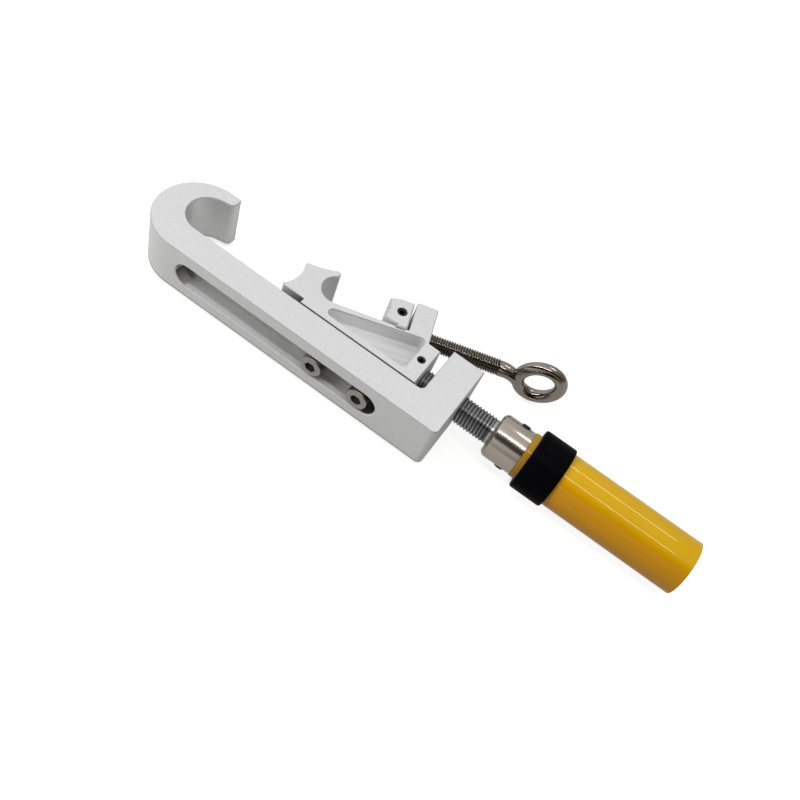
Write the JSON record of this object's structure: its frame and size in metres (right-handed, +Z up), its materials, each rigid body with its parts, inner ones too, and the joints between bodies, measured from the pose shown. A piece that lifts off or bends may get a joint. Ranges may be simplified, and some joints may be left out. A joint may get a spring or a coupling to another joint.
{
  "type": "hot stick clamp",
  "caption": "End of an insulated line stick with a J-shaped screw clamp: turning the pole drives a sliding jaw towards the hook, and an eyebolt drives a smaller clamp on the jaw.",
  "frame": {"origin": "centre of the cut pole end, on the stick's axis", "axes": "+X along the stick towards the hook, +Y from the hook's mouth to the back of the bar, +Z up, square to the flat faces of the clamp"},
  "size_m": [0.3442, 0.0908, 0.0362],
  "materials": {
    "blasted_aluminium": "fine bead blast, clear anodised",
    "stainless_steel": "turned",
    "black_oxide": "black oxide",
    "zinc_steel": "blue zinc plate",
    "nickel_plate": "polished nickel plate",
    "bright_steel": "polished",
    "yellow_glass_fibre": "gloss gel coat",
    "white_foam": "closed-cell foam",
    "black_rubber": "satin moulded rubber"
  },
  "bodies": {
    "frame": {"hook_frame": "blasted_aluminium"},
    "jaw": {"sliding_jaw": "blasted_aluminium", "slide_screws": "stainless_steel", "slide_washers": "stainless_steel", "jaw_grub_screw": "black_oxide"},
    "drive": {"main_screw": "zinc_steel", "ferrule": "nickel_plate", "cross_pin": "black_oxide", "pole_tube": "yellow_glass_fibre", "foam_core": "white_foam", "pole_collar": "black_rubber"},
    "block": {"clamp_block": "blasted_aluminium", "block_grub_screw": "black_oxide"},
    "eyebolt": {"eyebolt": "bright_steel"}
  },
  "joints": [
    {"name": "jaw_slide", "type": "slide", "parent": "frame", "child": "jaw", "axis": [1, 0, 0], "range_m": [-0.0035, 0.0215]},
    {"name": "screw_turn", "type": "hinge", "parent": "jaw", "child": "drive", "pos_m": [0.109, 0, 0], "axis": [1, 0, 0], "range_deg": [-630.1, 3870.1]},
    {"name": "block_slide", "type": "slide", "parent": "jaw", "child": "block", "axis": [0.9455, 0.3256, 0], "range_m": [-0.00075, 0.027]},
    {"name": "eye_turn", "type": "hinge", "parent": "block", "child": "eyebolt", "pos_m": [0.188, -0.02385, 0], "axis": [0.9455, 0.3256, 0], "range_deg": [-180.1, 6480.1]}
  ],
  "couplings": [
    {"joint": "screw_turn", "follows": "jaw_slide", "rad_per_m": 3141.6},
    {"joint": "eye_turn", "follows": "block_slide", "rad_per_m": 4188.8}
  ]
}
